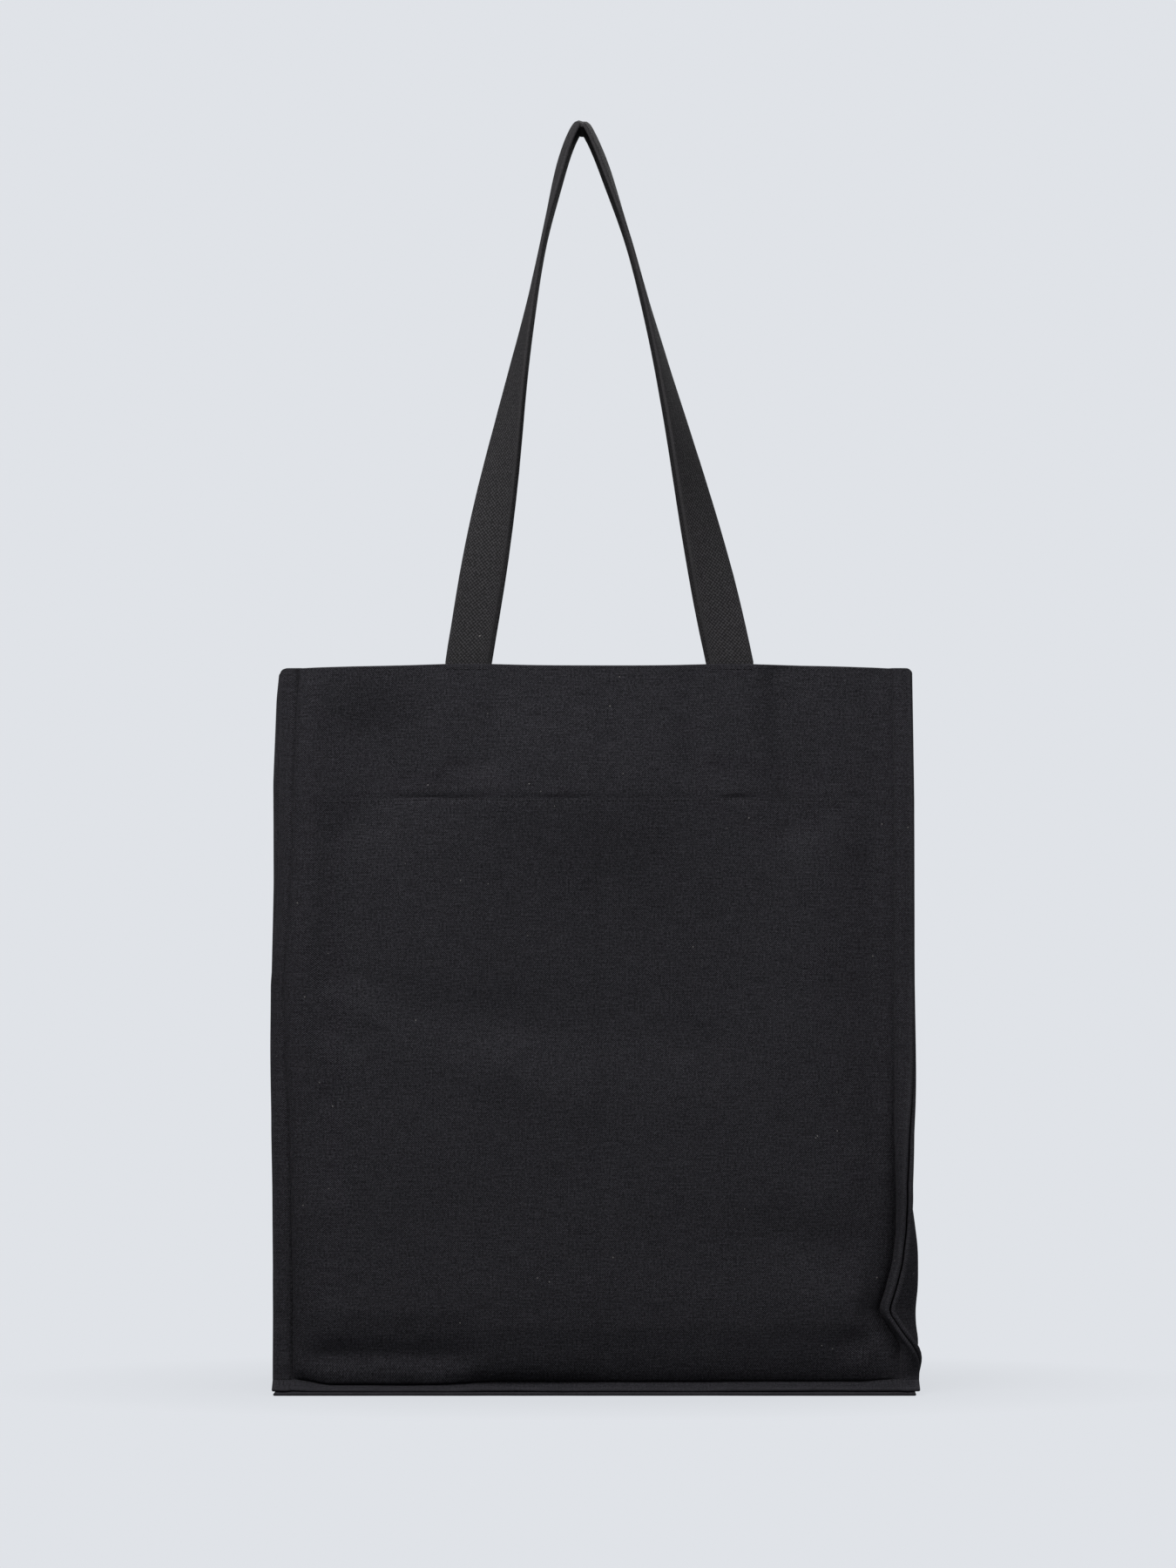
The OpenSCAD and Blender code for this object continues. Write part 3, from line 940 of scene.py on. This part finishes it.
def strapFrame(step, down=0.0):
    side, whole = (-1 if step < 0 else 1), handle["rise"]
    run = strapMiddle(step + 0.01) - strapMiddle(step - 0.01)
    away = Vector((-run.z, 0, run.x)).normalized()
    foot = ease(0.9, 1.0, abs(step))
    away = (away * (1 - foot) + Vector((side, 0, 0)) * foot).normalized()
    rise = whole * (1 - step * step)
    turn = min(1.0, max(0.0, (rise - handle["flat"][side]) / handle["twist"][side]))
    angle = 0.5 * math.pi * math.sin(0.5 * math.pi * turn)
    lean = ease(handle["leanFrom"] * whole, handle["leanTo"] * whole, rise)
    angle -= math.radians(handle["topLean"]) * lean
    forward = Vector((0, -1, 0))
    across = -math.cos(angle) * away + math.sin(angle) * forward
    through = math.sin(angle) * away + math.cos(angle) * forward
    return strapMiddle(step) - Vector((0, 0, down)), across, through


def strapSection(part):  # flat middle and round edges, part of the way round
    angle = 2 * math.pi * part
    c, s = math.cos(angle), math.sin(angle)
    halfWidth, halfThick = 0.5 * straps["width"], 0.5 * straps["thick"]
    x = (halfWidth - halfThick) * max(-1.0, min(1.0, c * 1.12)) + halfThick * c * abs(c) ** 3
    return x, halfThick * (abs(s) ** 0.42) * (1 if s >= 0 else -1)


def makeStrap(front, name):
    # Rings along the strap, from the sewn-in left end over the top to the sewn-in right end
    tail, tailSteps = handle["base"] - straps["tailEnd"], handle["tailRings"]
    loop, sides = handle["rings"], handle["sides"]
    frames = [strapFrame(-1, tail * (1 - i / tailSteps)) for i in range(tailSteps)]
    frames += [strapFrame(i / loop) for i in range(-loop, loop + 1)]
    frames += [strapFrame(1, tail * i / tailSteps) for i in range(1, tailSteps + 1)]
    lengths = [0.0]
    for a, b in zip(frames, frames[1:]):
        lengths.append(lengths[-1] + (b[0] - a[0]).length)
    bm, uvLayer, wearAndHighlightAmount = layGrid(sides, len(frames) - 1)
    spots = {}
    for vert in bm.verts:
        i = round((vert.co.x + 0.5) * sides)
        j = round((vert.co.y + 0.5) * (len(frames) - 1))
        x, z = strapSection((i % sides) / sides)
        here, across, through = frames[j]
        outer = abs(x) / (0.5 * straps["width"])
        lift = ripple("strapLift", x, z * 40, lengths[j])
        curl = ripple("strapCurl", 0, 0, lengths[j]) * outer ** 2
        edge = ripple("strapEdge", x * 3, 0, lengths[j]) * ease(0.7, 1, outer)
        point = here + across * (x + (edge if x > 0 else -edge)) + through * (z + lift + curl)
        spots[vert] = (i, j)
        vert.co = point if front else Vector((point.x, -point.y, point.z))
        vert[wearAndHighlightAmount] = edgeWearAndHighlight["strap"] * ease(0.86, 1.0, outer)
    around = 2 * (straps["width"] + straps["thick"])
    for face in bm.faces:
        for loop in face.loops:
            i, j = spots[loop.vert]
            loop[uvLayer].uv = (around * i / sides, lengths[j])
    bmesh.ops.remove_doubles(bm, verts=bm.verts, dist=1e-6)
    bmesh.ops.holes_fill(bm, edges=[e for e in bm.edges if e.is_boundary], sides=0)
    bmesh.ops.recalc_face_normals(bm, faces=bm.faces)
    return finishMesh(bm, name), lengths[-1]


for front, label, sign in walls:
    mesh, strapLength = makeStrap(front, label + "Strap")
    obj = makeObject(label + "Strap", mesh, strapCloth)
    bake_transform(obj)
    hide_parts(label + "_handle", label + "_left_strap_end", label + "_right_strap_end")
print("straps ready", round(strapLength, 4))


stitch = {
    "length": 2.7 * mm, "gap": 0.8 * mm,
    "width": 0.46 * mm, "height": 0.30 * mm,
    "dip": 0.08 * mm,           # its ends go down into the cloth
    "above": 0.06 * mm,
    "lengthSpread": 0.12, "leanSpread": 0.10, "gapSpread": 0.03,
    "rowStep": 3 * mm,
    "seamInset": 1.2 * mm, "bottomInset": -2.2 * mm, "endInset": 1 * mm,
    "strapInset": 0.4 * mm, "strapStep": 2 * mm,
}
dice = random.Random(4)


def sewLine(points, normals, bm):
    # One small rounded stitch at each place, laid along the line
    carried = 0.0
    pitch = stitch["length"] + stitch["gap"]
    distance = 0.5 * pitch
    for a, b, normal in zip(points, points[1:], normals):
        run = b - a
        length = run.length
        while distance < carried + length:
            at = a + run * ((distance - carried) / length)
            along = run.normalized()
            up = (normal - along * normal.dot(along)).normalized()
            aside = up.cross(along)
            longer = 1 + dice.uniform(-stitch["lengthSpread"], stitch["lengthSpread"])
            lean = dice.uniform(-stitch["leanSpread"], stitch["leanSpread"])
            made = bmesh.ops.create_uvsphere(bm, u_segments=6, v_segments=5, radius=0.5)
            for vert in made["verts"]:
                c = vert.co
                x = c.z * stitch["length"] * longer
                y = c.x * stitch["width"] + x * lean
                z = c.y * stitch["height"] * 2 - stitch["dip"] * abs(c.z * 2) ** 3
                vert.co = at + along * x + aside * y + up * z
            distance += pitch * (1 + dice.uniform(-stitch["gapSpread"], stitch["gapSpread"]))
        carried += length


def surfaceLine(place, spots, side):
    points, normals = [], []
    small = 0.4 * mm
    for s, v in spots:
        du = place(s + small, v) - place(s - small, v)
        dv = place(s, v + small) - place(s, v - small)
        normal = du.cross(dv).normalized() * side
        points.append(place(s, v) + normal * (0.5 * canvas["ply"] + stitch["above"]))
        normals.append(normal)
    return points, normals


def sewRows(name, node, *rows):  # each row: what it lies on, its spots there and which side
    bm = bmesh.new()
    for row in rows:
        sewLine(*surfaceLine(*row), bm)
    for face in bm.faces:
        face.smooth = True
    obj = makeObject(name, finishMesh(bm, name), sewingThread)
    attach(obj, "root")
    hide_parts(node)


rowStep, endInset = stitch["rowStep"], stitch["endInset"]
rowHeights = stationsAlong(3 * mm, openHeight - 2 * mm, rowStep)
for front, label, sign in walls:
    for right, sideLabel, side in flanks:
        wallSpots = [(side * (halfWide + stitch["seamInset"]), v) for v in rowHeights]
        gussetSpots = [(sign * (gussetHalf + stitch["seamInset"]), v) for v in rowHeights]
        sewRows(label + sideLabel.title() + "Seam", f"{label}_{sideLabel}_seam_thread",
                (partial(wallPoint, front), wallSpots, -sign),
                (partial(gussetPoint, right), gussetSpots, side))

for group, place, half in ((walls, wallPoint, halfWide + endInset),
                           (flanks, gussetPoint, gussetHalf - endInset)):
    for which, label, sign in group:
        spots = [(s, stitch["bottomInset"]) for s in stationsAlong(-half, half, rowStep)]
        row = (partial(place, which), spots, -sign if group is walls else sign)
        sewRows(label + "BottomSeam", label + "_bottom_seam_thread", row)

reach = facingHigh.x - endInset
for front, label, sign in walls:
    xs = stationsAlong(-reach, reach, rowStep)
    innerSpots = [(x, rimHeight(x, front) - facings["below"] - facingLine) for x in xs]
    sewRows(label + "FacingStitches", label + "_facing_thread",
            (partial(wallPoint, front), [(x, lineV) for x in xs], -sign),
            (partial(facingPoint, front), innerSpots, -sign))
for right, label, sign in flanks:
    ys = stationsAlong(sideFacingLow.y + endInset, sideFacingHigh.y - endInset, rowStep)
    innerSpots = [(y, facingDepth - facings["sideLine"]) for y in ys]
    sewRows(label + "FacingStitches", label + "_facing_thread",
            (partial(gussetPoint, right), [(y, lineV) for y in ys], sign),
            (partial(gussetFacingPoint, right), innerSpots, sign))

strapLine = 0.5 * (strapThreadLow.z + strapThreadHigh.z)
reach = 0.5 * straps["width"] - stitch["strapInset"]
for front, label, sign in walls:
    for right, sideLabel, side in flanks:
        at = handle["foot"][side]
        xs = stationsAlong(at - reach, at + reach, stitch["strapStep"])
        sewRows(label + sideLabel.title() + "StrapStitches", f"{label}_{sideLabel}_strap_thread",
                (partial(wallPoint, front), [(x, strapLine - body["bottomRoot"]) for x in xs], -sign),
                (partial(facingPoint, front), [(x, body["rim"] - strapLine) for x in xs], -sign))
print("stitching ready")


studio = {
    "paper": (0.745, 0.768, 0.807, 1),
    "glow": 0.87,               # share of the paper's brightness that shadow leaves
    "matte": 0.055,
    "shadowFrom": 0.15, "shadowTo": 0.30,   # distance over which the paper stops taking shadow
    "shadowShape": (0.8, 1.6, 1),
    "fill": 0.26,               # how much of the air's brightness lights the bag
    "cameraX": -4 * mm, "cameraZ": 350 * mm,
    "distance": 3.2, "pictureHeight": 0.9, "sensor": 36,
    # Place, height aimed at, size and power
    "lights": {
        "softTop": ((-0.5, -0.72, 1.22), 0.35, (0.8, 0.6), 19),
        "softRight": ((1.1, -0.9, 0.9), 0.35, (0.9, 0.9), 8.8),
        "softBack": ((0.3, 1.0, 1.4), 0.3, (1.2, 0.8), 11.5),
    },
}


def makePaper():
    # Paper that glows evenly, and takes the bag's shadow only close to the bag
    material, w, shader = newMaterial("studioPaper")
    where = w.add("ShaderNodeTexCoord").outputs["Object"]
    far = w.add("ShaderNodeVectorMath", {0: w.stretched(where, studio["shadowShape"])},
                operation="LENGTH")
    close = w.spread(far.outputs["Value"], studio["shadowFrom"], studio["shadowTo"], 1.0, 0.0)
    matte = tuple(studio["matte"] * c for c in studio["paper"][:3]) + (1,)
    w.feed(shader["Base Color"], w.blendColors(close, (0, 0, 0, 1), matte))
    shader["Roughness"].default_value = 1.0
    shader["Specular IOR Level"].default_value = 0.0
    shader["Emission Color"].default_value = studio["paper"]
    w.feed(shader["Emission Strength"], w.spread(close, 0.0, 1.0, 1.0, studio["glow"]))
    bm = bmesh.new()
    bmesh.ops.create_grid(bm, x_segments=2, y_segments=2, size=30)
    obj = addToScene("studioFloor", finishMesh(bm, "studioFloor"))
    obj.data.materials.append(material)
    obj.visible_diffuse = False  # the glow is for the eye only, so it doesn't light the cloth
    obj.visible_glossy = False


makePaper()
world = bpy.data.worlds.new("studioAir")
world.use_nodes = True
air = Wiring(world.node_tree)
backdrop = world.node_tree.nodes["Background"].inputs
backdrop["Color"].default_value = studio["paper"]
seen = air.add("ShaderNodeLightPath").outputs["Is Camera Ray"]
air.feed(backdrop["Strength"], air.spread(seen, 0.0, 1.0, studio["fill"], 1.0))
bpy.context.scene.world = world

for name, (place, aim, size, power) in studio["lights"].items():
    data = bpy.data.lights.new(name, "AREA")
    data.shape = "RECTANGLE"
    data.size, data.size_y = size
    data.energy = power
    light = addToScene(name, data)
    light.location = place
    light.rotation_euler = (Vector((0, 0, aim)) - Vector(place)).to_track_quat("-Z", "Y").to_euler()

camera = bpy.data.cameras.new("camera")
camera.sensor_width = studio["sensor"]
camera.lens = studio["sensor"] * studio["distance"] / studio["pictureHeight"]
camera.clip_end = 100
cameraObject = addToScene("camera", camera)
cameraObject.location = (studio["cameraX"], -wallY - studio["distance"], studio["cameraZ"])
cameraObject.rotation_euler = (0.5 * math.pi, 0, 0)
bpy.context.scene.camera = cameraObject
bpy.context.scene.view_settings.view_transform = "Standard"
print("studio ready")
